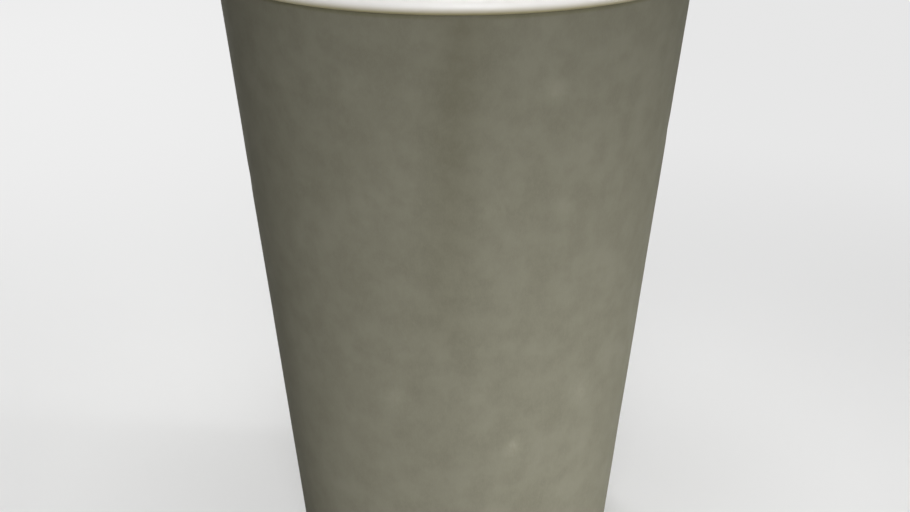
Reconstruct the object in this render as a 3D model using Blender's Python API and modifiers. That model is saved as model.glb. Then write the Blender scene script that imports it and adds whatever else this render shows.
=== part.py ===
"""A paper coffee cup of the 12 ounce size, made the way a cup machine makes it.

The cup is two blanks of lined board. The side wall is a fan of board that is
lapped and sealed along one seam, curled out over itself at the mouth, and
turned in and up at the foot. The base disc is a shallow dish, mouth down,
whose skirt stands in the groove between the wall and its turned-up hem.

Run it with: blender --background --python part.py
Units are metres, +Z is up, and the cup stands on Z = 0 around the Z axis.
"""

from math import acos, asin, atan2, cos, pi, radians, sin, sqrt, tan

import bpy
from mathutils import Matrix, Vector

MM = 0.001

# Driving dimensions of the whole cup
CUP_HEIGHT = 110.0 * MM
MOUTH_DIAMETER = 90.0 * MM  # over the curled rim
FOOT_DIAMETER = 58.0 * MM  # over the foot, where the wall's line meets the table
RIM_CURL = 3.0 * MM  # across the curl, from outside to outside

# The side wall's board, its seam and its hem
WALL_BOARD = 0.40 * MM
SEAM_LAP = 7.0 * MM  # how far one edge of the fan covers the other, at mid height
SEAM_EASE = 9.0 * MM  # how far before the seam the board starts to rise over its other edge
SEAM_GLUE = 0.10 * MM  # between the two layers of the seam
SEAM_HEADING = radians(128.0)  # the seam is on the back left, away from the front at -Y
HEM_HEIGHT = 6.8 * MM  # the turned-up board's free edge, above the table
FOLD_RADIUS = 0.25 * MM  # of the two creases under the foot, at the board's middle
CURL_GLUE = 0.10 * MM  # between the curl's free edge and the wall that it closes on

# The base disc
BASE_BOARD = 0.30 * MM
FLOOR_HEIGHT = 8.6 * MM  # the floor's upper face, above the table
FLOOR_CORNER = 1.0 * MM  # where the floor turns down into its skirt, at the board's middle
SKIRT_GLUE = 0.25 * MM  # between the skirt and the board on each side of it

# How finely the curves are cut into flat pieces
PLAIN_STEPS = 56  # round the wall, outside the seam
LAP_STEPS = 3
EASE_STEPS = 5
CURL_STEPS = 13
FOLD_STEPS = 3
CORNER_STEPS = 5
BASE_STEPS = 72

# Finishes, as linear colours with roughness
PRINTED_GREY = ((0.17, 0.163, 0.123, 1.0), 0.80)
WHITE_LINING = ((0.82, 0.81, 0.77, 1.0), 0.42)
CUT_EDGE = ((0.78, 0.74, 0.66, 1.0), 0.90)
BARE_BOARD = ((0.76, 0.74, 0.69, 1.0), 0.85)

# The wall's straight line, at the middle of its board, in the plane of radius and height
CURL_RADIUS = (RIM_CURL - WALL_BOARD) / 2
CURL_CENTRE = Vector(((MOUTH_DIAMETER - RIM_CURL) / 2, CUP_HEIGHT - RIM_CURL / 2))
FOOT_POINT = Vector(((FOOT_DIAMETER - WALL_BOARD) / 2, 0.0))
REACH = CURL_CENTRE - FOOT_POINT
LEAN = atan2(REACH.x, REACH.y) - asin(CURL_RADIUS / REACH.length)  # away from upright
WALL_UP = Vector((sin(LEAN), cos(LEAN)))
WALL_OUT = Vector((cos(LEAN), -sin(LEAN)))
WALL_LENGTH = sqrt(REACH.length_squared - CURL_RADIUS**2)  # from the table to the curl

# What the two blanks share at the foot
GROOVE = WALL_BOARD + BASE_BOARD + 2 * SKIRT_GLUE  # middle of the wall to middle of the hem
SEAM_STEP = WALL_BOARD + SEAM_GLUE  # how far one layer of the seam lies from the other
MIDDLE_RADIUS = (MOUTH_DIAMETER + FOOT_DIAMETER) / 4


def smooth(share):
    """Eases from 0 to 1 with no kink at either end."""
    return share * share * (3 - 2 * share)


def on_wall(inwards, height):
    """The point at a height on the line that runs beside the wall, some way inwards of it."""
    start = FOOT_POINT - WALL_OUT * inwards
    return start + WALL_UP * ((height - start.y) / WALL_UP.y)


class BoardSection:
    """A strip of board seen on its cut edge, laid down by going straight and bending.

    It keeps the middle of the board and, at each point, the direction that the
    printed face looks in, which is to the right of the way it is going.
    """

    def __init__(self, start, heading):
        self.heading = heading
        self.points = [start.copy()]
        self.faces = [self.right()]

    def right(self):
        return Vector((sin(self.heading), -cos(self.heading)))

    def add(self, point):
        self.points.append(point)
        self.faces.append(self.right())

    def straight_to(self, point):
        self.add(point.copy())

    def bend(self, radius, angle, steps):
        """Turns left by the angle, or right where it is negative."""
        side = -1 if angle > 0 else 1
        centre = self.points[-1] + self.right() * radius * side
        for _ in range(steps):
            self.heading += angle / steps
            self.add(centre - self.right() * radius * side)


def curl_turn(doubled):
    """How far the rim curls before its free edge meets the wall, which is thicker at the seam."""
    wall_face = WALL_BOARD / 2 + doubled * SEAM_STEP
    return 2 * pi - acos((CURL_RADIUS - wall_face - CURL_GLUE) / (CURL_RADIUS + WALL_BOARD / 2))


def wall_section(lift, doubled):
    """The wall's board from the hem's free edge, under the foot and up to the end of the curl.

    lift is 1 where this layer lies on the other one, and doubled is 1 wherever
    there are two. A doubled foot rises by one board, so that the cup stands level.
    """
    inner_turn = pi / 2 + LEAN
    outer_turn = pi / 2 - LEAN
    underside = WALL_BOARD / 2
    inner_corner = on_wall(GROOVE, underside)
    outer_corner = on_wall(0.0, underside)
    inner_start = inner_corner + WALL_UP * FOLD_RADIUS * tan(inner_turn / 2)
    outer_start = outer_corner - Vector((FOLD_RADIUS * tan(outer_turn / 2), 0.0))

    board = BoardSection(on_wall(GROOVE, HEM_HEIGHT), -inner_turn)
    board.straight_to(inner_start)
    board.bend(FOLD_RADIUS, inner_turn, FOLD_STEPS)
    board.straight_to(outer_start)
    board.bend(FOLD_RADIUS, outer_turn, FOLD_STEPS)
    board.straight_to(on_wall(0.0, FLOOR_HEIGHT))
    board.straight_to(FOOT_POINT + WALL_UP * WALL_LENGTH)
    board.bend(CURL_RADIUS, -curl_turn(doubled), CURL_STEPS)

    fold_top = inner_start.y
    section = []
    for point, face in zip(board.points, board.faces):
        moved = point + face * lift * SEAM_STEP
        in_foot = min(1.0, (FLOOR_HEIGHT - point.y) / (FLOOR_HEIGHT - fold_top))
        moved.y += max(0.0, in_foot) * doubled * SEAM_STEP
        section.append(moved)
    return section


def seam_stations():
    """(angle, lift, doubled) of each section, from the covered edge round to the edge on top."""
    lap = SEAM_LAP / MIDDLE_RADIUS
    ease = SEAM_EASE / MIDDLE_RADIUS
    turn = 2 * pi
    stations = [(lap * i / LAP_STEPS, 0.0, 1.0) for i in range(LAP_STEPS)]
    for i in range(EASE_STEPS):
        share = i / EASE_STEPS
        stations.append((lap + ease * share, 0.0, 1.0 - smooth(share)))
    plain = turn - lap - 2 * ease
    for i in range(PLAIN_STEPS):
        stations.append((lap + ease + plain * i / PLAIN_STEPS, 0.0, 0.0))
    for i in range(EASE_STEPS):
        share = i / EASE_STEPS
        stations.append((turn - ease + ease * share, smooth(share), smooth(share)))
    stations += [(turn + lap * i / LAP_STEPS, 1.0, 1.0) for i in range(LAP_STEPS + 1)]
    return stations


def make_material(name, finish):
    colour, roughness = finish
    material = bpy.data.materials.new(name)
    material.use_nodes = True
    shader = material.node_tree.nodes["Principled BSDF"]
    shader.inputs["Base Color"].default_value = colour
    shader.inputs["Roughness"].default_value = roughness
    shader.inputs["Metallic"].default_value = 0.0
    material.diffuse_color = colour
    return material


def thicken(obj, board, materials):
    """Gives a sheet its board: the printed or outer face, the face behind it and the cut edge."""
    for material in materials:
        obj.data.materials.append(material)
    solidify = obj.modifiers.new("Board", "SOLIDIFY")
    solidify.thickness = board
    solidify.offset = 0.0
    solidify.use_even_offset = True
    solidify.material_offset = 1
    solidify.material_offset_rim = 2
    obj.data.shade_smooth()


def make_side_wall(collection):
    """Lofts the board's section round the cup, lifting it over its own edge at the seam."""
    points = []
    for angle, lift, doubled in seam_stations():
        spin = Matrix.Rotation(SEAM_HEADING + angle, 3, "Z")
        section = wall_section(lift, doubled)
        points += [spin @ Vector((p.x, 0.0, p.y)) for p in section]
    across = len(section)
    rows = len(points) // across
    faces = []
    for row in range(rows - 1):
        for i in range(across - 1):
            near, far = row * across + i, (row + 1) * across + i
            faces.append((near, far, far + 1, near + 1))

    mesh = bpy.data.meshes.new("side_wall")
    mesh.from_pydata(points, [], faces)
    wall = bpy.data.objects.new("side_wall", mesh)
    collection.objects.link(wall)
    finishes = (("printed face", PRINTED_GREY), ("white lining", WHITE_LINING), ("cut edge", CUT_EDGE))
    thicken(wall, WALL_BOARD, [make_material(*finish) for finish in finishes])
    return wall


def make_base_disc(collection):
    """Turns the floor and its skirt. The skirt stands in the foot's groove, clear of its fold."""
    beside_wall = WALL_BOARD / 2 + SKIRT_GLUE + BASE_BOARD / 2
    skirt_foot = 2 * WALL_BOARD + SEAM_GLUE + SKIRT_GLUE  # over the doubled fold at the seam
    floor = FLOOR_HEIGHT - BASE_BOARD / 2
    corner = on_wall(beside_wall + FLOOR_CORNER, floor - FLOOR_CORNER)
    profile = [Vector((0.0, floor))]
    for i in range(CORNER_STEPS + 1):
        angle = pi / 2 - (pi / 2 + LEAN) * i / CORNER_STEPS
        profile.append(corner + Vector((cos(angle), sin(angle))) * FLOOR_CORNER)
    profile.append(on_wall(beside_wall, skirt_foot))

    mesh = bpy.data.meshes.new("base_disc")
    edges = [(i, i + 1) for i in range(len(profile) - 1)]
    mesh.from_pydata([(p.x, 0.0, p.y) for p in profile], edges, [])
    disc = bpy.data.objects.new("base_disc", mesh)
    collection.objects.link(disc)
    screw = disc.modifiers.new("Turn", "SCREW")
    screw.angle = 2 * pi
    screw.steps = screw.render_steps = BASE_STEPS
    screw.use_merge_vertices = True
    screw.merge_threshold = 0.01 * MM
    finishes = (("white floor", WHITE_LINING), ("bare board", BARE_BOARD), ("base cut edge", CUT_EDGE))
    thicken(disc, BASE_BOARD, [make_material(*finish) for finish in finishes])
    return disc


def main():
    for obj in list(bpy.data.objects):
        bpy.data.objects.remove(obj)
    collection = bpy.data.collections.new("paper_coffee_cup")
    bpy.context.scene.collection.children.link(collection)
    make_side_wall(collection)
    make_base_disc(collection)


main()
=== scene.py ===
# %% [markdown]
# # A used paper coffee cup
#
# This lesson dresses a paper coffee cup for its portrait. The solids of the cup come from
# the CAD model: a side wall with a curled rim and a base disc. Here each of them gets a finer
# mesh of the same form, with the small unevenness of real board, and a finish for each of
# its faces. The first cell loads the solids. They say how large everything is.

# %% Load the cup's solids
from math import acos, asin, atan2, ceil, cos, degrees, exp, pi, radians, sin, sqrt, tan

import bmesh
import bpy
from mathutils import Matrix, Vector, noise


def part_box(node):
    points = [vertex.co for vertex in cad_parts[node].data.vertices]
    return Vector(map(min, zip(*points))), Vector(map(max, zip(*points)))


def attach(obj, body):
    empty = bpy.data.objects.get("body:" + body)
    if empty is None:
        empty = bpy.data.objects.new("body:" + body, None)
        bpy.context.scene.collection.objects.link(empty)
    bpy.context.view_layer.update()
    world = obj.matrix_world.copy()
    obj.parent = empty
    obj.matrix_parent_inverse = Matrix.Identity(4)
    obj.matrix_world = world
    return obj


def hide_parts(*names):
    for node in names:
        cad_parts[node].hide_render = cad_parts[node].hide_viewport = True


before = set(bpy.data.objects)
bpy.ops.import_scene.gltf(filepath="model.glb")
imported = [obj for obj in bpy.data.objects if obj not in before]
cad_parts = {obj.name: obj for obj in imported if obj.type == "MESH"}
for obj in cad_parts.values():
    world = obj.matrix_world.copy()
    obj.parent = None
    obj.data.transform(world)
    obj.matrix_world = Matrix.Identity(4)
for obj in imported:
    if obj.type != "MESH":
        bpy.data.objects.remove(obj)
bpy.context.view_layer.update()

# %% [markdown]
# ## The sizes of the board
#
# A cup machine works from a few sizes: the mouth, the height, the foot, the board and the
# curl. The same ones made the solids, so they are written again here, in metres. The mouth
# and the height are compared with the solids' box, which is a little smaller because the
# solids have flat facets. The rest follows: the side wall leans out just so far that its
# straight line runs from the foot into the curl without a kink.

# %% Sizes
MM = 0.001
CUP_HEIGHT = 110.0 * MM
MOUTH_DIAMETER = 90.0 * MM  # over the curled rim
FOOT_DIAMETER = 58.0 * MM  # over the foot, where the wall's line meets the table
RIM_CURL = 3.0 * MM
WALL_BOARD = 0.40 * MM
BASE_BOARD = 0.30 * MM
SEAM_LAP = 7.0 * MM
SEAM_EASE = 9.0 * MM
SEAM_GLUE = 0.10 * MM
SEAM_HEADING = radians(128.0)
HEM_HEIGHT = 6.8 * MM
FOLD_RADIUS = 0.25 * MM
CURL_GLUE = 0.10 * MM
FLOOR_HEIGHT = 8.6 * MM
FLOOR_CORNER = 1.0 * MM
SKIRT_GLUE = 0.25 * MM

CURL_RADIUS = (RIM_CURL - WALL_BOARD) / 2
CURL_CENTRE = Vector(((MOUTH_DIAMETER - RIM_CURL) / 2, CUP_HEIGHT - RIM_CURL / 2))
FOOT_POINT = Vector(((FOOT_DIAMETER - WALL_BOARD) / 2, 0.0))
REACH = CURL_CENTRE - FOOT_POINT
LEAN = atan2(REACH.x, REACH.y) - asin(CURL_RADIUS / REACH.length)
WALL_UP = Vector((sin(LEAN), cos(LEAN)))
WALL_OUT = Vector((cos(LEAN), -sin(LEAN)))
WALL_LENGTH = sqrt(REACH.length_squared - CURL_RADIUS**2)
GROOVE = WALL_BOARD + BASE_BOARD + 2 * SKIRT_GLUE
SEAM_STEP = WALL_BOARD + SEAM_GLUE
MIDDLE_RADIUS = (MOUTH_DIAMETER + FOOT_DIAMETER) / 4

wall_low, wall_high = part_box("side_wall")
print("mouth", round(wall_high.x - wall_low.x, 5), "of", MOUTH_DIAMETER)
print("height", round(wall_high.z - wall_low.z, 5), "of", CUP_HEIGHT)
print("the wall leans out by", round(degrees(LEAN), 2), "degrees")

# %% [markdown]
# ## The camera
#
# The photograph looks down on the cup from the front and cuts off its mouth and its foot.
# How fast the two sides of the cup run together, and how round the front of the rim looks,
# give the camera's distance, height and tilt. The lens could be guessed and the rest fitted
# by eye, but a camera that is worked out from the cup's own sizes puts the rim and both
# sides where the photograph has them.

# %% Camera
PHOTO_WIDTH = 910
FOCAL_PIXELS = 1950.0
CAMERA_DISTANCE = 343.0 * MM
CAMERA_HEIGHT = 173.4 * MM
CAMERA_PITCH = radians(19.54)
NEAREST_SEEN = 10 * MM

camera = bpy.data.objects.new("camera", bpy.data.cameras.new("camera"))
bpy.context.scene.collection.objects.link(camera)
camera.data.lens = camera.data.sensor_width * FOCAL_PIXELS / PHOTO_WIDTH
camera.data.clip_start = NEAREST_SEEN
camera.location = (0.0, -CAMERA_DISTANCE, CAMERA_HEIGHT)
camera.rotation_euler = (pi / 2 - CAMERA_PITCH, 0.0, 0.0)
bpy.context.scene.camera = camera
print("lens", round(camera.data.lens, 1), "mm at", CAMERA_DISTANCE, "m")

# %% [markdown]
# ## A strip of board
#
# Seen on its cut edge, the whole side wall is one strip of board. It starts at the free edge
# of the hem inside the foot, runs down, folds twice to pass under the foot, goes up the long
# straight wall and curls over at the mouth. The strip could be drawn as a list of points, but
# a tape that goes straight and bends keeps the board's width true at every fold. At each
# point it also knows which way the printed face looks, which is to the right of the way that
# the tape goes.

# %% A tape that lays down board
class BoardSection:
    def __init__(self, start, heading):
        self.heading = heading
        self.points = [start.copy()]
        self.faces = [self.right()]

    def right(self):
        return Vector((sin(self.heading), -cos(self.heading)))

    def add(self, point):
        self.points.append(point)
        self.faces.append(self.right())

    def straight_to(self, point, longest):
        """Goes on to a point in equal steps, none of them longer than this."""
        start = self.points[-1]
        steps = max(1, ceil((point - start).length / longest))
        for i in range(1, steps + 1):
            self.add(start.lerp(point, i / steps))

    def bend(self, radius, angle, steps):
        """Turns left by the angle, or right where it is negative."""
        side = -1 if angle > 0 else 1
        centre = self.points[-1] + self.right() * radius * side
        for _ in range(steps):
            self.heading += angle / steps
            self.add(centre - self.right() * radius * side)


def on_wall(inwards, height):
    """The point at a height on the line that runs beside the wall, some way inwards of it."""
    start = FOOT_POINT - WALL_OUT * inwards
    return start + WALL_UP * ((height - start.y) / WALL_UP.y)


def smooth(share):
    """Eases from 0 to 1 with no kink at either end."""
    return share * share * (3 - 2 * share)


print("radius and height of the hem's free edge:", [round(c, 5) for c in on_wall(GROOVE, HEM_HEIGHT)])

# %% [markdown]
# ## The strip at the seam
#
# At the side seam one edge of the fan lies on the other. There the upper layer is lifted by
# the board and a film of glue, it comes down again before the seam as an even slope, and the
# foot rises by as much so that the cup still stands level. The curl also closes a little
# earlier, because the wall that it meets is thicker. One section could be copied all round and
# the seam added as a patch, but a section that knows how far it is lifted needs no patch.

# %% The wall's section
LONGEST_WALL_STEP = 1.35 * MM
LONGEST_FOOT_STEP = 0.9 * MM
FOLD_STEPS = 5
CURL_STEPS = 30


def curl_turn(doubled):
    """How far the rim curls before its free edge meets the wall."""
    wall_face = WALL_BOARD / 2 + doubled * SEAM_STEP
    return 2 * pi - acos((CURL_RADIUS - wall_face - CURL_GLUE) / (CURL_RADIUS + WALL_BOARD / 2))


def wall_section(lift, doubled):
    """The points of the board, each with the way its printed face looks.

    lift is 1 where this layer lies on the other one, and doubled is 1 wherever there are two.
    """
    inner_turn = pi / 2 + LEAN
    outer_turn = pi / 2 - LEAN
    underside = WALL_BOARD / 2
    inner_corner = on_wall(GROOVE, underside)
    outer_corner = on_wall(0.0, underside)
    inner_start = inner_corner + WALL_UP * FOLD_RADIUS * tan(inner_turn / 2)
    outer_start = outer_corner - Vector((FOLD_RADIUS * tan(outer_turn / 2), 0.0))

    board = BoardSection(on_wall(GROOVE, HEM_HEIGHT), -inner_turn)
    board.straight_to(inner_start, LONGEST_FOOT_STEP)
    board.bend(FOLD_RADIUS, inner_turn, FOLD_STEPS)
    board.straight_to(outer_start, LONGEST_FOOT_STEP)
    board.bend(FOLD_RADIUS, outer_turn, FOLD_STEPS)
    board.straight_to(on_wall(0.0, FLOOR_HEIGHT), LONGEST_FOOT_STEP)
    board.straight_to(FOOT_POINT + WALL_UP * WALL_LENGTH, LONGEST_WALL_STEP)
    board.bend(CURL_RADIUS, -curl_turn(doubled), CURL_STEPS)

    fold_top = inner_start.y
    moved = []
    for point, face in zip(board.points, board.faces):
        place = point + face * lift * SEAM_STEP
        in_foot = min(1.0, (FLOOR_HEIGHT - point.y) / (FLOOR_HEIGHT - fold_top))
        place.y += max(0.0, in_foot) * doubled * SEAM_STEP
        moved.append((place, face))
    return moved


print("points across the board:", len(wall_section(0.0, 0.0)))

# %% [markdown]
# ## Round the cup
#
# The section is placed at many angles, from the edge that the seam covers, once round the cup
# and on to the edge on top of it. Most of the way nothing changes, so those stations are
# evenly spread. They are closer together at the seam, where the board rises.

# %% Stations round the cup
PLAIN_STEPS = 300
LAP_STEPS = 12
EASE_STEPS = 16


def seam_stations():
    """(angle, lift, doubled) of each section, from the covered edge round to the edge on top."""
    lap = SEAM_LAP / MIDDLE_RADIUS
    ease = SEAM_EASE / MIDDLE_RADIUS
    turn = 2 * pi
    stations = [(lap * i / LAP_STEPS, 0.0, 1.0) for i in range(LAP_STEPS)]
    for i in range(EASE_STEPS):
        share = i / EASE_STEPS
        stations.append((lap + ease * share, 0.0, 1.0 - smooth(share)))
    plain = turn - lap - 2 * ease
    for i in range(PLAIN_STEPS):
        stations.append((lap + ease + plain * i / PLAIN_STEPS, 0.0, 0.0))
    for i in range(EASE_STEPS):
        share = i / EASE_STEPS
        stations.append((turn - ease + ease * share, smooth(share), smooth(share)))
    stations += [(turn + lap * i / LAP_STEPS, 1.0, 1.0) for i in range(LAP_STEPS + 1)]
    return stations


print("sections round the cup:", len(seam_stations()))

# %% [markdown]
# ## Hand marks on the board
#
# A used cup isn't a perfect cone. The board swells and sinks by a few hundredths of a
# millimetre where it took up damp, and fingers leave soft creases. These are real shapes, so
# they go into the mesh, where every light finds them. Each mark has its place in degrees
# round from the front and in height, so that it can be moved by hand. A darker band that
# runs down the front from the rim has no height of its own. It only darkens the board, as
# scuffs only lighten it, so these two are strengths that the finish will read.

# %% Unevenness, creases, scuffs and a darker band
BROAD_WAVE = (26.0 * MM, 0.075 * MM)  # across, and how far in or out
SMALL_WAVE = (7.0 * MM, 0.022 * MM)

# From (degrees, height) to (degrees, height), half width, depth inwards
CREASES = (
    (-47.0, 82 * MM, -30.0, 68 * MM, 1.4 * MM, 0.08 * MM),
    (-29.0, 103 * MM, -22.0, 93 * MM, 1.4 * MM, -0.06 * MM),
    (31.0, 66 * MM, 40.0, 41 * MM, 2.2 * MM, 0.03 * MM),
    (172.0, 83 * MM, 188.0, 64 * MM, 1.8 * MM, 0.09 * MM),
    (96.0, 92 * MM, 103.0, 74 * MM, 1.9 * MM, 0.07 * MM),
)
CREASE_AT_ENDS = 0.35  # how deep a crease is at its two ends, as a share of its depth
# (degrees, height), half width, strength
SCUFFS = (
    (23.0, 93 * MM, 2.0 * MM, 0.13),
    (29.0, 72 * MM, 2.0 * MM, 0.045),
    (10.0, 73 * MM, 1.7 * MM, 0.08),
    (18.4, 27 * MM, 1.6 * MM, 0.20),
    (-24.0, 93 * MM, 2.4 * MM, 0.045),
    (-45.0, 93 * MM, 1.8 * MM, 0.08),
    (42.0, 35 * MM, 2.4 * MM, 0.11),
    (-18.0, 37 * MM, 2.2 * MM, 0.10),
    (6.5, 38 * MM, 1.7 * MM, 0.06),
    (150.0, 52 * MM, 2.0 * MM, 0.18),
    (-118.0, 34 * MM, 1.8 * MM, 0.20),
    (84.0, 22 * MM, 1.6 * MM, 0.18),
)
# A darker band that runs down the front from the rim.
# From (degrees, height) to (degrees, height), half width
DARK_BAND = (1.8, 108 * MM, -3.0, 50 * MM, 4.0 * MM)
DARK_BAND_AT_START = 1.08  # a little over 1, so that it stays full for a short way
DARK_BAND_AT_END = 0.38
print(len(CREASES), "creases,", len(SCUFFS), "scuffs and one drip")

# %% [markdown]
# The marks are placed on the board rolled out flat, as if the cup were as wide all the way up
# as it is at mid height. The true flat shape is a fan, but for marks of a few millimetres this
# is near enough. Each mark fades smoothly from its middle, so it has no edge that could show.

# %% Where the marks lie
def unroll(place):
    """Where a point of the wall lies on the flat board: metres round from the front, and height."""
    round_from_front = atan2(place.x, -place.y)
    return Vector((round_from_front * MIDDLE_RADIUS, place.z))


def marked_at(round_degrees, height):
    """A mark's place on the flat board."""
    return Vector((radians((round_degrees + 180) % 360 - 180) * MIDDLE_RADIUS, height))


def fading(off, half_width):
    """1 in the middle of a mark, soft at its edge."""
    return exp(-((off / half_width) ** 2))


def near_stroke(on_flat, stroke):
    """How far along a stroke its nearest point is, from 0 to 1, and how strong the stroke is here."""
    from_degrees, from_height, to_degrees, to_height, half_width = stroke
    start, end = marked_at(from_degrees, from_height), marked_at(to_degrees, to_height)
    along = (on_flat - start).dot(end - start) / (end - start).length_squared
    along = min(1.0, max(0.0, along))
    return along, fading((on_flat - start.lerp(end, along)).length, half_width)


def push_of(place, on_flat):
    """How far the board is pushed along its printed face, outwards where it is positive."""
    push = 0.0
    for across, depth in (BROAD_WAVE, SMALL_WAVE):
        push += depth * noise.noise(place / across)
    for *stroke, depth in CREASES:
        along, strength = near_stroke(on_flat, stroke)
        push -= depth * strength * (CREASE_AT_ENDS + (1 - CREASE_AT_ENDS) * sin(pi * along))
    return push


def dark_band_of(on_flat):
    along, strength = near_stroke(on_flat, DARK_BAND)
    return (DARK_BAND_AT_START + (DARK_BAND_AT_END - DARK_BAND_AT_START) * along) * strength


def scuff_of(on_flat):
    rubbed = 0.0
    for round_degrees, height, half_width, strength in SCUFFS:
        off = (on_flat - marked_at(round_degrees, height)).length
        rubbed = max(rubbed, strength * fading(off, half_width))
    return rubbed


print("the drip where it ends:", round(dark_band_of(marked_at(*DARK_BAND[2:4])), 3))

# %% [markdown]
# ## From sheet to board
#
# The sections round the cup make one open sheet with no thickness. Two sheets and a strip
# between them could be meshed by hand, but Solidify does that and keeps the board even: the
# sheet's front becomes the printed face, its back the white lining, and the strip between
# them the cut edge. The modifier is then applied, so that the piece is a plain mesh.

# %% Sheet and board
SHARP_ANGLE = radians(40)


def sheet_mesh(name, rows):
    """A mesh from rows of points, each row joined to the next."""
    across = len(rows[0])
    faces = []
    for row in range(len(rows) - 1):
        for i in range(across - 1):
            near, far = row * across + i, (row + 1) * across + i
            faces.append((near, far, far + 1, near + 1))
    mesh = bpy.data.meshes.new(name)
    mesh.from_pydata([point for row in rows for point in row], [], faces)
    return mesh


def make_board(name, mesh, thickness, materials):
    """Gives a sheet its thickness and its three finishes: front, back and cut edge."""
    for material in materials:
        mesh.materials.append(material)
    sheet = bpy.data.objects.new(name, mesh)
    bpy.context.scene.collection.objects.link(sheet)
    solidify = sheet.modifiers.new("Board", "SOLIDIFY")
    solidify.thickness = thickness
    solidify.offset = 0.0
    solidify.use_even_offset = True
    solidify.material_offset = 1
    solidify.material_offset_rim = 2
    evaluated = sheet.evaluated_get(bpy.context.evaluated_depsgraph_get())
    solid = bpy.data.meshes.new_from_object(evaluated)
    sheet.modifiers.clear()
    sheet.data = solid
    solid.shade_smooth()
    solid.set_sharp_from_angle(angle=SHARP_ANGLE)
    print(name, "has", len(solid.polygons), "faces")
    return sheet


# %% [markdown]
# ## The wall's sheet
#
# The waves and creases fade out in the foot, where the machine pressed the board tight, and
# are small in the curl, where they keep the rim from looking turned on a lathe. Each point
# also carries its marks for the finish: scuff, darker band, painted shade where the curl looks
# down, and edge, which is high on the fold that the cup stands on and along the lap's free
# edge, where ink rubs off. These could be painted by hand, but the shape already knows where they
# are.

# %% How freely the board moves, and where it is tucked or rubbed
STILL_BELOW = 9.0 * MM
MOVING_ABOVE = 22.0 * MM
MOVING_BELOW = 98.0 * MM
STILL_ABOVE = 106.0 * MM
CURL_FREEDOM = 0.4
CURL_SHADE_STARTS_EARLY = 0.12
FOOT_RUB = 2.0 * MM
LAP_RUB = 0.7 * MM


def freedom(height):
    """1 in the open wall, less in the curl and 0 in the foot."""
    rise = min(1.0, max(0.0, (height - STILL_BELOW) / (MOVING_ABOVE - STILL_BELOW)))
    fall = min(1.0, max(0.0, (STILL_ABOVE - height) / (STILL_ABOVE - MOVING_BELOW)))
    return smooth(rise) * (CURL_FREEDOM + (1 - CURL_FREEDOM) * smooth(fall))


def curl_shade_share(face):
    """The share of painted shade on the curl: 0 where its white face looks up or out, 1 where it
    looks down.
    """
    return smooth(min(1.0, max(0.0, face.y + CURL_SHADE_STARTS_EARLY)))


def edge_rub(to_lap_edge, height):
    """1 on the fold under the foot and on the lap's free edge, and 0 a little away from both."""
    return smooth(max(0.0, 1 - height / FOOT_RUB, 1 - to_lap_edge / LAP_RUB))


print("share of the waves at mid height:", freedom(CUP_HEIGHT / 2), "and at the foot:", freedom(0.0))

# %% The wall's sheet
def side_wall_sheet():
    """The side wall as a sheet, with its marks."""
    rows = []
    marks = {"scuff": [], "darker_band": [], "painted_curl_shade": [], "edge": []}
    stations = seam_stations()
    last_angle = stations[-1][0]
    for angle, lift, doubled in stations:
        spin = Matrix.Rotation(SEAM_HEADING + angle, 3, "Z")
        row = []
        for point, face in wall_section(lift, doubled):
            place = spin @ Vector((point.x, 0.0, point.y))
            on_flat = unroll(place)
            push = push_of(place, on_flat) * freedom(place.z)
            row.append(place + spin @ Vector((face.x, 0.0, face.y)) * push)
            marks["scuff"].append(scuff_of(on_flat) * freedom(place.z))
            marks["darker_band"].append(dark_band_of(on_flat))
            marks["painted_curl_shade"].append(curl_shade_share(face) if place.z > STILL_ABOVE else 0.0)
            marks["edge"].append(edge_rub((last_angle - angle) * point.x, place.z))
        rows.append(row)
    mesh = sheet_mesh("paper_wall", rows)
    for name, values in marks.items():
        mesh.attributes.new(name, "FLOAT", "POINT").data.foreach_set("value", values)
    print("the wall's sheet has", len(mesh.vertices), "points and the marks", sorted(marks))
    return mesh


wall_sheet = side_wall_sheet()

# %% [markdown]
# ## Laying shader nodes by hand
#
# The finishes are built from nodes. Nodes could be laid and linked by hand in the editor, but
# a few small helpers keep them readable here: one adds a node and fills or links its inputs,
# one mixes two colours, one turns a range of values into a soft mask, and one does sums.

# %% Nodes, mixes, masks and sums
MIX_SHARE, MIX_UNDER, MIX_OVER, MIX_RESULT = 0, 6, 7, 2  # the Mix node's sockets for colours
WHITE = (1.0, 1.0, 1.0, 1.0)


def node(tree, kind, inputs, **settings):
    """A new node. An input is either another node's output or a plain value."""
    made = tree.nodes.new(kind)
    for name, value in settings.items():
        setattr(made, name, value)
    for key, value in inputs.items():
        if isinstance(value, bpy.types.NodeSocket):
            tree.links.new(value, made.inputs[key])
        else:
            made.inputs[key].default_value = value
    return made


def mix_colours(tree, share, under, over, blend_type="MIX"):
    inputs = {MIX_SHARE: share, MIX_UNDER: under, MIX_OVER: over}
    made = node(tree, "ShaderNodeMix", inputs, data_type="RGBA", blend_type=blend_type)
    return made.outputs[MIX_RESULT]


def soft_mask(tree, value, start, end, low=0.0, high=1.0):
    """Low up to the start, high from the end on, and a smooth change between them."""
    inputs = {"Value": value, "From Min": start, "From Max": end, "To Min": low, "To Max": high}
    made = node(tree, "ShaderNodeMapRange", inputs, interpolation_type="SMOOTHSTEP")
    return made.outputs["Result"]


def sums(tree, operation, first, second=0.0):
    return node(tree, "ShaderNodeMath", {0: first, 1: second}, operation=operation).outputs[0]


print("helpers for nodes: node, mix_colours, soft_mask and sums")

# %% [markdown]
# Four more helpers are about the board itself: noise of a real size in metres, a mark that
# the mesh carries, small bumps, and an empty finish to start from. The noise is placed by the
# object's own coordinates, so it stays on the cup and keeps its size from every side.

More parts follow.
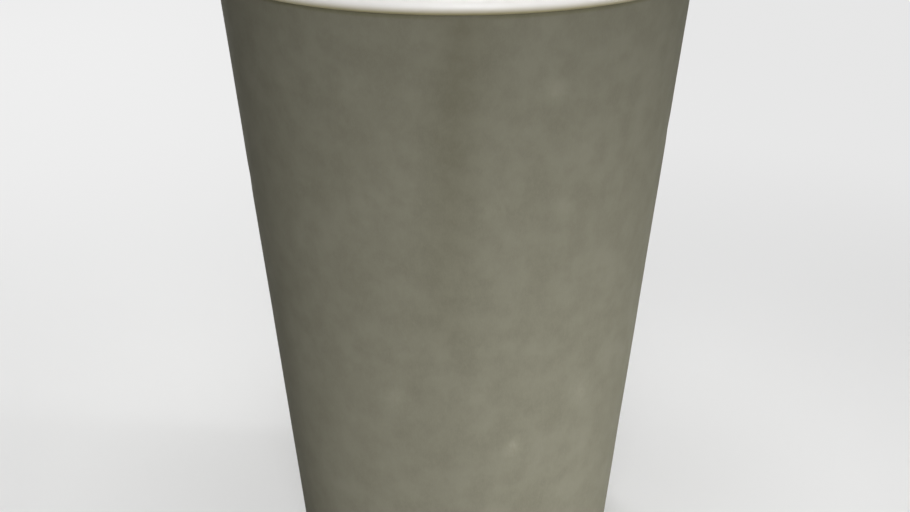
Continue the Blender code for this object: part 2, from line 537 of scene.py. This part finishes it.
# %% Noise, marks, bumps and an empty finish
def grain(tree, place, across, stretch=1.0, detail=2.0, roughness=0.5):
    """Noise whose blotches are about so many metres across, drawn out along the cup's height."""
    scale = (1 / across, 1 / across, 1 / across / stretch)
    squeezed = node(tree, "ShaderNodeMapping", {"Vector": place, "Scale": scale}).outputs["Vector"]
    inputs = {"Vector": squeezed, "Scale": 1.0, "Detail": detail, "Roughness": roughness}
    return node(tree, "ShaderNodeTexNoise", inputs).outputs["Fac"]


def mark(tree, name):
    """A mark that the mesh carries at each of its points."""
    return node(tree, "ShaderNodeAttribute", {}, attribute_name=name).outputs["Fac"]


def bumps(tree, height, depth, normal=None):
    """Bumps of a depth in metres, on top of the ones that a normal already has."""
    inputs = {"Height": height, "Distance": depth, "Strength": 1.0}
    if normal:
        inputs["Normal"] = normal
    return node(tree, "ShaderNodeBump", inputs).outputs["Normal"]


def new_finish(name, roughness, specular):
    """An empty finish: its node tree, its shader and the place in metres on the cup."""
    material = bpy.data.materials.new(name)
    material.use_nodes = True
    tree = material.node_tree
    shader = tree.nodes["Principled BSDF"]
    shader.inputs["Roughness"].default_value = roughness
    shader.inputs["Specular IOR Level"].default_value = specular
    place = node(tree, "ShaderNodeTexCoord", {}).outputs["Object"]
    return material, tree, shader, place


print("helpers for board: grain, mark, bumps and new_finish")

# %% [markdown]
# ## The printed face
#
# The outside is a matt olive-grey ink on board. Board is never even: its fibres lie in clouds
# and lumps a few millimetres across, and the ink sinks deeper into some of them. Up close the
# fibres themselves show as a fine tooth. A picture of paper could be wrapped round the cup,
# but noise that is tied to the cup's own size has no seam and no edge. Each layer of noise
# shifts the ink's colour only a little, because on the real cup they hardly show. The marks
# that the mesh carries then darken the board along the darker band and bare it where it wore.
# A thin band of painted shade also darkens the board close under the curl, all round the cup.

# %% Inks and the noise of board
INK = (0.166, 0.160, 0.121, 1.0)
INK_THIN = (0.196, 0.190, 0.147, 1.0)
INK_THICK = (0.140, 0.134, 0.099, 1.0)
BOARD_SHOWS = (0.45, 0.445, 0.35, 1.0)
# How much the darker band darkens the board.
DARK_BAND_TINT = (0.86, 0.85, 0.82, 1.0)
# Painted shade: the tint of a thin band close under the curl, all round the cup.
PAINTED_RIM_SHADE = (0.87, 0.86, 0.75, 1.0)
PAINTED_RIM_SHADE_RISES = (105.7 * MM, 106.3 * MM)  # the heights where the line starts and is full

BOARD_NOISE = {
    "clouds": {"across": 12 * MM},
    "lumps": {"across": 4.2 * MM},
    "fibres": {"across": 0.9 * MM, "stretch": 1.6, "detail": 3.0, "roughness": 0.6},
    "tooth": {"across": 0.22 * MM, "stretch": 2.5, "roughness": 0.7},
}
# Noise, from which value of it to which, the largest share, and the ink that it leads to
INK_SHIFTS = (
    ("clouds", 0.25, 0.75, 0.50, INK_THIN),
    ("lumps", 0.22, 0.78, 0.75, INK_THICK),
    ("fibres", 0.35, 0.80, 0.28, INK_THIN),
    ("tooth", 0.35, 0.75, 0.25, INK_THIN),
)
BUMP_DEPTHS = {"tooth": 0.010 * MM, "fibres": 0.016 * MM, "lumps": 0.045 * MM}

# From which value of the noise to which, and what it gives at each of them
SCUFF_BREAKS_UP = (0.35, 0.65, 0.8, 1.0)
EDGE_BREAKS_UP = (0.35, 0.65, 0.1, 0.7)
INK_ROUGHNESS = (0.3, 0.7, 0.74, 0.88)
for noise_name, look in BOARD_NOISE.items():
    print(noise_name, round(look["across"] / MM, 2), "mm across")

# %% [markdown]
# The layers of noise are laid over each other first, then the darker band and the painted
# shade under the curl, and last the worn spots, because rubbing takes off whatever lies on the
# board. Noise breaks up the worn spots as well. The same noises also raise the surface, the finest
# first.

# %% Printed board
def printed_finish():
    material, tree, shader, place = new_finish("printed_board", roughness=0.82, specular=0.07)
    noises = {name: grain(tree, place, **look) for name, look in BOARD_NOISE.items()}
    colour = INK
    for name, start, end, most, ink in INK_SHIFTS:
        share = soft_mask(tree, noises[name], start, end, high=most)
        colour = mix_colours(tree, share, colour, ink)

    darker_band = mark(tree, "darker_band")
    colour = mix_colours(tree, darker_band, colour, DARK_BAND_TINT, "MULTIPLY")
    # Painted shade: a thin band close under the curl is darkened, less where the darker band is.
    height = node(tree, "ShaderNodeSeparateXYZ", {"Vector": place}).outputs["Z"]
    painted_rim_shade_by_height = soft_mask(tree, height, *PAINTED_RIM_SHADE_RISES)
    painted_rim_shade_share = sums(tree, "MULTIPLY", painted_rim_shade_by_height, sums(tree, "SUBTRACT", 1.0, darker_band))
    colour = mix_colours(tree, painted_rim_shade_share, colour, PAINTED_RIM_SHADE, "MULTIPLY")

    scuff_share = soft_mask(tree, noises["fibres"], *SCUFF_BREAKS_UP)
    edge_share = soft_mask(tree, noises["lumps"], *EDGE_BREAKS_UP)
    scuffed = sums(tree, "MULTIPLY", mark(tree, "scuff"), scuff_share)
    rubbed = sums(tree, "MULTIPLY", mark(tree, "edge"), edge_share)
    colour = mix_colours(tree, sums(tree, "MAXIMUM", scuffed, rubbed), colour, BOARD_SHOWS)
    tree.links.new(colour, shader.inputs["Base Color"])
    tree.links.new(soft_mask(tree, noises["fibres"], *INK_ROUGHNESS), shader.inputs["Roughness"])

    rise = None
    for name, depth in BUMP_DEPTHS.items():
        rise = bumps(tree, noises[name], depth, rise)
    tree.links.new(rise, shader.inputs["Normal"])
    return material


printed = printed_finish()
print("printed board:", len(printed.node_tree.nodes), "nodes")

# %% [markdown]
# ## Dried coffee
#
# The last of the coffee dried in the cup. It could be a mesh of its own, but dried coffee has
# hardly any thickness, so it is a stain. Thin coffee is golden and thick coffee is brown,
# because each layer takes out more blue than red. Mixing towards one brown would turn a thin
# film grey, so a colour ramp holds the coffee's colour raised to the power of its thickness,
# and the board's colour is multiplied by it.

# %% A stain of coffee
DRIED_COFFEE = (0.30, 0.15, 0.05)
TINT_STOPS = 7


def coffee_tint(thickness):
    """What is left of white after coffee of a thickness from 0 to 1."""
    return [channel**thickness for channel in DRIED_COFFEE] + [1.0]


def stained(tree, colour, thickness):
    """The colour seen through dried coffee."""
    made = node(tree, "ShaderNodeValToRGB", {"Fac": thickness})
    stops = made.color_ramp.elements
    for i in range(1, TINT_STOPS - 1):
        stops.new(i / (TINT_STOPS - 1))
    for stop in stops:
        stop.color = coffee_tint(stop.position)
    return mix_colours(tree, 1.0, colour, made.outputs["Color"], "MULTIPLY")


print("half as thick, coffee leaves", [round(c, 2) for c in coffee_tint(0.5)[:3]], "of white")

# %% [markdown]
# ## The lining
#
# The inside and the outside of the curl are white board under a thin film of plastic, which
# keeps the coffee out of the board and gives a soft shine. It could be one even white, but
# board under a film is a little cloudy and has a fine tooth.

# %% White lining
LINING = (0.82, 0.807, 0.783, 1.0)
LINING_SHADE = (0.765, 0.75, 0.717, 1.0)
LINING_CLOUDS = 6 * MM
LINING_SHADES = (0.35, 0.7, 0.0, 0.5)  # from which value of the clouds to which, and the shares
LINING_TOOTH = 0.5 * MM
LINING_TOOTH_DEPTH = 0.006 * MM


def white_lining(name, cloud_stretch=1.0, tooth_stretch=1.0):
    """The lining before any coffee: its cloudy white and its fine tooth."""
    material, tree, shader, place = new_finish(name, roughness=0.42, specular=0.5)
    clouds = grain(tree, place, LINING_CLOUDS, cloud_stretch, detail=3.0)
    tooth = grain(tree, place, LINING_TOOTH, tooth_stretch)
    colour = mix_colours(tree, soft_mask(tree, clouds, *LINING_SHADES), LINING, LINING_SHADE)
    tree.links.new(bumps(tree, tooth, LINING_TOOTH_DEPTH), shader.inputs["Normal"])
    return material, tree, shader, place, clouds, colour


print("the lining's clouds are", round(LINING_CLOUDS / MM, 1), "mm across")

# %% [markdown]
# ## Where the coffee stood
#
# The coffee left a thin line on the lining where it stood for a while, and a low band just
# above the floor. A level line would look drawn with a ruler. The cup wasn't quite level
# then, so the line is a little higher on one side, and noise makes it ragged and breaks it up.
# The curl's underside is darker: this is painted shade, tinted olive like the wall that it faces.

# %% White lining with dried coffee
# Painted shade: the colour of the curl's underside, dark and tinted olive like the wall below it.
LINING_CURL_SHADE = (0.33, 0.285, 0.15, 1.0)
COFFEE_LINE = 63.0 * MM
COFFEE_LINE_HALF = 0.8 * MM
COFFEE_LINE_THICK = 0.26
COFFEE_LINE_PIECES = 9 * MM
COFFEE_LINE_BREAKS_UP = (0.35, 0.65, 0.15, 1.0)
COFFEE_TILT = 0.05
COFFEE_WANDERS = (16 * MM, 0.6 * MM)  # how long a stretch of it, and how far up and down
COFFEE_FILM = 0.03
FILM_ENDS = (COFFEE_LINE - 0.8 * MM, COFFEE_LINE + 0.2 * MM)
DREGS_TOP = 12.5 * MM
DREGS_EDGE = 0.5 * MM
DREGS_THICK = 0.24
DREGS_BREAK_UP = (0.3, 0.65, 0.5, 1.0)
NOISE_ENDS = (0.2, 0.8)  # nearly all of a noise lies between these


def wandering(tree, place, across, reach, detail=1.0):
    """Noise as a distance in metres, from so far one way to so far the other."""
    return soft_mask(tree, grain(tree, place, across, detail=detail), *NOISE_ENDS, -reach, reach)


def line_at(tree, value, middle, half_width, strength=1.0):
    """A soft line where a value comes close to its middle."""
    off = sums(tree, "ABSOLUTE", sums(tree, "SUBTRACT", value, middle))
    return soft_mask(tree, off, 0.0, half_width, strength, 0.0)


def lining_finish():
    material, tree, shader, place, clouds, colour = white_lining(
        "white_lining", cloud_stretch=1.4, tooth_stretch=2.0
    )
    # Painted shade where the curl's white face looks down towards the wall.
    colour = mix_colours(tree, mark(tree, "painted_curl_shade"), colour, LINING_CURL_SHADE)

    parts = node(tree, "ShaderNodeSeparateXYZ", {"Vector": place}).outputs
    tilted = sums(tree, "ADD", parts["Z"], sums(tree, "MULTIPLY", parts["X"], COFFEE_TILT))
    level = sums(tree, "ADD", tilted, wandering(tree, place, *COFFEE_WANDERS))
    line = line_at(tree, level, COFFEE_LINE, COFFEE_LINE_HALF, COFFEE_LINE_THICK)
    pieces = grain(tree, place, COFFEE_LINE_PIECES)
    breaks = soft_mask(tree, pieces, *COFFEE_LINE_BREAKS_UP)
    film = soft_mask(tree, level, *FILM_ENDS, COFFEE_FILM, 0.0)
    dregs = soft_mask(tree, level, DREGS_TOP - DREGS_EDGE, DREGS_TOP, DREGS_THICK, 0.0)
    low_film = sums(tree, "MULTIPLY", dregs, soft_mask(tree, clouds, *DREGS_BREAK_UP))
    stain = sums(tree, "MAXIMUM", film, low_film)
    stain = sums(tree, "MAXIMUM", sums(tree, "MULTIPLY", line, breaks), stain)
    tree.links.new(stained(tree, colour, stain), shader.inputs["Base Color"])
    return material


lining = lining_finish()
print("white lining:", len(lining.node_tree.nodes), "nodes")

# %% [markdown]
# ## Cut edges and bare board
#
# Where the board is cut, and under the floor, there is neither ink nor film. It is off-white
# and fibrous: darker clouds with fine upright hairs in them. Both finishes are the same make
# with other colours and another size of cloud, so one function makes them.

# %% Cut edges and bare board
CUT = (0.70, 0.66, 0.56, 1.0)
CUT_DARK = (0.56, 0.51, 0.41, 1.0)
CUT_CLOUDS = 1.2 * MM
BARE = (0.72, 0.70, 0.63, 1.0)
BARE_DARK = (0.655, 0.63, 0.55, 1.0)
BARE_CLOUDS = 4 * MM
HAIRS_PER_CLOUD = 6
HAIR_DEPTH = 0.02 * MM
# From which value of the noise to which, and the share of the dark colour at each of them
CLOUD_SHADES = (0.35, 0.68, 0.0, 1.0)
HAIR_SHADES = (0.45, 0.75, 0.0, 0.6)


def board_finish(name, light, dark, across):
    material, tree, shader, place = new_finish(name, roughness=0.88, specular=0.2)
    clouds = grain(tree, place, across, detail=4.0, roughness=0.6)
    hairs = grain(tree, place, across / HAIRS_PER_CLOUD, stretch=3.0)
    colour = mix_colours(tree, soft_mask(tree, clouds, *CLOUD_SHADES), light, dark)
    colour = mix_colours(tree, soft_mask(tree, hairs, *HAIR_SHADES), colour, dark)
    tree.links.new(colour, shader.inputs["Base Color"])
    tree.links.new(bumps(tree, hairs, HAIR_DEPTH), shader.inputs["Normal"])
    return material


cut_edge = board_finish("cut_edge", CUT, CUT_DARK, CUT_CLOUDS)
bare_board = board_finish("bare_board", BARE, BARE_DARK, BARE_CLOUDS)
print("finishes:", [m.name for m in (printed, lining, cut_edge, bare_board)])

# %% [markdown]
# ## The side wall
#
# Sheet, board and finishes come together. The finished wall takes the place of the CAD
# model's wall: it rides on the cup's one body and keeps the name of the wall's board.

# %% Build the side wall
paper_wall = make_board("paper_wall", wall_sheet, WALL_BOARD, (printed, lining, cut_edge))
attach(paper_wall, "root")
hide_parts("side_wall")

# %% [markdown]
# ## The base disc
#
# The floor is a second blank: a round of board pressed into a shallow dish, mouth down, whose
# skirt stands in the groove of the foot. It is a turned shape, so its outline is spun round
# the cup's axis in one step. The floor is cut into rings so that it can sink a little in the
# middle, as a wet floor does.

# %% Base disc
BASE_STEPS = 240
FLOOR_RINGS = 26
CORNER_STEPS = 7
SKIRT_STEPS = 6
FLOOR_SINK = 0.12 * MM
SAME_POINT = 0.001 * MM


def base_profile():
    """The floor and its skirt, from the axis outwards and down, and where the floor ends."""
    beside_wall = WALL_BOARD / 2 + SKIRT_GLUE + BASE_BOARD / 2
    skirt_foot = 2 * WALL_BOARD + SEAM_GLUE + SKIRT_GLUE
    floor = FLOOR_HEIGHT - BASE_BOARD / 2
    corner = on_wall(beside_wall + FLOOR_CORNER, floor - FLOOR_CORNER)
    edge = corner.x
    outline = [Vector((edge * i / FLOOR_RINGS, floor)) for i in range(FLOOR_RINGS)]
    for i in range(CORNER_STEPS + 1):
        angle = pi / 2 - (pi / 2 + LEAN) * i / CORNER_STEPS
        outline.append(corner + Vector((cos(angle), sin(angle))) * FLOOR_CORNER)
    top, foot = outline[-1], on_wall(beside_wall, skirt_foot)
    outline += [top.lerp(foot, i / SKIRT_STEPS) for i in range(1, SKIRT_STEPS + 1)]
    return outline, edge


def base_sheet():
    """The base disc as a sheet that looks up, sunk a little in the middle."""
    outline, edge = base_profile()
    work = bmesh.new()
    line = [work.verts.new((point.x, 0.0, point.y)) for point in outline]
    edges = [work.edges.new(pair) for pair in zip(line, line[1:])]
    turn = {"cent": (0, 0, 0), "axis": (0, 0, 1), "angle": 2 * pi, "steps": BASE_STEPS}
    bmesh.ops.spin(work, geom=line + edges, use_merge=True, **turn)
    bmesh.ops.remove_doubles(work, verts=work.verts, dist=SAME_POINT)
    bmesh.ops.recalc_face_normals(work, faces=work.faces)
    across, depth = BROAD_WAVE
    for vert in work.verts:
        inside = max(0.0, 1.0 - Vector(vert.co.xy).length / edge)
        wave = noise.noise(vert.co / across) * depth
        vert.co.z += smooth(inside) * (wave - FLOOR_SINK)
    if sum(face.normal.z for face in work.faces) < 0:
        bmesh.ops.reverse_faces(work, faces=work.faces)
    mesh = bpy.data.meshes.new("paper_floor")
    work.to_mesh(mesh)
    work.free()
    return mesh


print("the floor is flat out to", round(base_profile()[1] / MM, 2), "mm from the axis")

# %% [markdown]
# ## The floor and its dried pool
#
# The floor's upper face has the same lining as the wall, but the last of the coffee dried
# there, so it gets a finish of its own. A thin layer of coffee draws back into the corner all
# round, and the last of it runs together at one side. Where its edge stood still for long it
# left a darker line, and the film inside is pale and patchy. The distance from a point and
# from the cup's axis draws both, and noise bends them so that they don't look like circles.

# %% Floor with a dried pool
POOL_CENTRE = Vector((10.5 * MM, 5.0 * MM, FLOOR_HEIGHT))
POOL_RADIUS = 17.5 * MM
POOL_EDGE = 0.6 * MM
POOL_FILM = 0.17
POOL_FILM_ENDS = (POOL_RADIUS - 0.3 * MM, POOL_RADIUS + 0.3 * MM)
# How the pool wanders: the size of each noise, how far it moves the edge, and its detail
POOL_WANDERS = ((24 * MM, 4 * MM, 1.0), (9 * MM, 0.9 * MM, 0.0), (3 * MM, 0.25 * MM, 1.0))
POOL_EDGE_PIECES = 11 * MM
POOL_EDGE_THICK = (0.35, 0.65, 0.18, 0.60)
POOL_BLOTCHES = {"across": 5 * MM, "detail": 4.0, "roughness": 0.6}
POOL_BREAKS_UP = (0.3, 0.7, 0.45, 1.0)
FLOOR_CENTRE = Vector((0.0, 0.0, FLOOR_HEIGHT))
CORNER_RING = (21.5 * MM, 27.5 * MM)  # from the axis: where the ring in the corner starts and is full
CORNER_FILM = 0.45
CORNER_BEND = 0.35  # the share of the pool's wandering that the ring in the corner has


def distance_from(tree, place, centre):
    inputs = {0: place, 1: centre}
    return node(tree, "ShaderNodeVectorMath", inputs, operation="DISTANCE").outputs["Value"]


def pool_finish():
    material, tree, shader, place, _, colour = white_lining("lining_with_pool")
    bent, lobes, frayed = [wandering(tree, place, *wander) for wander in POOL_WANDERS]
    bend = sums(tree, "ADD", sums(tree, "ADD", bent, lobes), frayed)
    edge_thick = soft_mask(tree, grain(tree, place, POOL_EDGE_PIECES), *POOL_EDGE_THICK)
    patchy = soft_mask(tree, grain(tree, place, **POOL_BLOTCHES), *POOL_BREAKS_UP)

    reach = sums(tree, "ADD", distance_from(tree, place, POOL_CENTRE), bend)
    film = soft_mask(tree, reach, *POOL_FILM_ENDS, POOL_FILM, 0.0)
    edge = sums(tree, "MULTIPLY", line_at(tree, reach, POOL_RADIUS, POOL_EDGE), edge_thick)
    corner_bend = sums(tree, "MULTIPLY", bend, CORNER_BEND)
    from_axis = sums(tree, "ADD", distance_from(tree, place, FLOOR_CENTRE), corner_bend)
    corner = soft_mask(tree, from_axis, *CORNER_RING, high=CORNER_FILM)
    film = sums(tree, "MULTIPLY", sums(tree, "MAXIMUM", film, corner), patchy)
    stain = sums(tree, "MAXIMUM", film, edge)
    tree.links.new(stained(tree, colour, stain), shader.inputs["Base Color"])
    return material


pool_lining = pool_finish()
paper_floor = make_board("paper_floor", base_sheet(), BASE_BOARD, (pool_lining, bare_board, cut_edge))
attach(paper_floor, "root")
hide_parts("base_disc")

# %% [markdown]
# ## The table
#
# The cup stands on a plain pale table that runs out of the picture on all sides. A white
# table would throw much light back at the cup, and a grey one would look dull. Light Path
# tells who is looking, so the table can be pale for the camera and for reflections, and
# greyer for the light that it bounces. Round the cup it also has a colour of its own, which
# is what takes the cup's shadow. That colour fades out away from the cup, so that the pools
# of light under the lamps don't show, and the table ends in the same tone as the room.

# %% Table
TABLE_HALF = 4.0
TABLE_NEAR = (0.52, 0.52, 0.515, 1.0)
TABLE_FAR = (0.0, 0.0, 0.0, 1.0)
TABLE_BOUNCE = (0.50, 0.50, 0.49, 1.0)
GLOW_NEAR = 0.34
GLOW_FAR = 0.78
FADES = (0.07, 0.28)  # metres from the cup's axis where the table starts to fade and where it has


def seen_directly(tree):
    """1 for what the camera, a reflection or a glass sees, and 0 for the light that it bounces."""
    path = node(tree, "ShaderNodeLightPath", {}).outputs
    seen = sums(tree, "MAXIMUM", path["Is Camera Ray"], path["Is Glossy Ray"])
    return sums(tree, "MAXIMUM", seen, path["Is Transmission Ray"])


def table_finish():
    material, tree, shader, place = new_finish("pale_table", roughness=0.9, specular=0.1)
    seen = seen_directly(tree)
    from_cup = node(tree, "ShaderNodeVectorMath", {0: place}, operation="LENGTH").outputs["Value"]
    colour = mix_colours(tree, soft_mask(tree, from_cup, *FADES), TABLE_NEAR, TABLE_FAR)
    glow = soft_mask(tree, from_cup, *FADES, GLOW_NEAR, GLOW_FAR)
    tree.links.new(mix_colours(tree, seen, TABLE_BOUNCE, colour), shader.inputs["Base Color"])
    tree.links.new(sums(tree, "MULTIPLY", seen, glow), shader.inputs["Emission Strength"])
    shader.inputs["Emission Color"].default_value = WHITE
    return material


table_mesh = bpy.data.meshes.new("table")
corners = [(x * TABLE_HALF, y * TABLE_HALF, 0.0) for x, y in ((-1, -1), (1, -1), (1, 1), (-1, 1))]
table_mesh.from_pydata(corners, [], [(0, 1, 2, 3)])
table_mesh.materials.append(table_finish())
table = bpy.data.objects.new("table", table_mesh)
bpy.context.scene.collection.objects.link(table)
print("table:", 2 * TABLE_HALF, "m square")

# %% [markdown]
# ## The light
#
# The photograph's light is soft and comes from low in front and from the right, so the wall is
# brighter near the foot than under the rim. Turning several lamps up and down by eye takes
# long, but light adds up: the cup was first rendered with one lamp at a time, and the powers
# were then chosen so that their sum shades the wall as in the photograph. A small spread keeps
# a lamp's light together, so these lamps need few watts. The box overhead lights the inside
# and the rim, and the one behind and to the left lights the two sides that the photograph
# doesn't show.

# %% Lamps
# Name, azimuth and elevation in degrees, distance, side of the square, watts, spread in degrees,
# and the height on the cup's axis that the lamp aims at
LAMPS = (
    ("low_front_box", 10, 10, 0.70, 0.20, 0.240, 36, -43 * MM),
    ("rim_box", -7, 20, 0.70, 0.20, 0.050, 28, 100 * MM),
    ("side_box", 84, 10, 0.70, 0.12, 0.093, 28, -20 * MM),
    ("overhead_box", 0, 84, 1.00, 0.50, 3.65, 180, 10 * MM),
    ("back_box", 200, 15, 0.70, 0.30, 0.53, 60, 20 * MM),
)


def soft_box(name, azimuth, elevation, distance, size, watts, spread, aim_height):
    """A square lamp round the cup: azimuth 0 is the front, and positive turns to the right."""
    turn, rise = radians(azimuth), radians(elevation)
    away = Vector((sin(turn) * cos(rise), -cos(turn) * cos(rise), sin(rise)))
    data = bpy.data.lights.new(name, "AREA")
    data.size = size
    data.energy = watts
    data.spread = radians(spread)
    lamp = bpy.data.objects.new(name, data)
    lamp.location = Vector((0.0, 0.0, aim_height)) + away * distance
    lamp.rotation_euler = away.to_track_quat("Z", "Y").to_euler()
    lamp.visible_camera = False
    bpy.context.scene.collection.objects.link(lamp)
    print(name, "at", [round(c, 2) for c in lamp.location])


for lamp_row in LAMPS:
    soft_box(*lamp_row)

# %% [markdown]
# ## The room
#
# The room adds almost no light. A bright world would flatten the shading that the lamps give,
# so only the camera and reflections see it bright. Where the table ends, the camera sees the
# same pale tone.

# %% World
WORLD_SEEN = 0.78
WORLD_LIGHT = 0.02

world = bpy.data.worlds.new("studio")
world.use_nodes = True
sky = world.node_tree
background = sky.nodes["Background"]
strength = soft_mask(sky, seen_directly(sky), 0.0, 1.0, WORLD_LIGHT, WORLD_SEEN)
background.inputs["Color"].default_value = WHITE
sky.links.new(strength, background.inputs["Strength"])
bpy.context.scene.world = world
bpy.context.scene.view_settings.view_transform = "Standard"
print("the room is seen at", WORLD_SEEN, "and lights the cup with", WORLD_LIGHT)
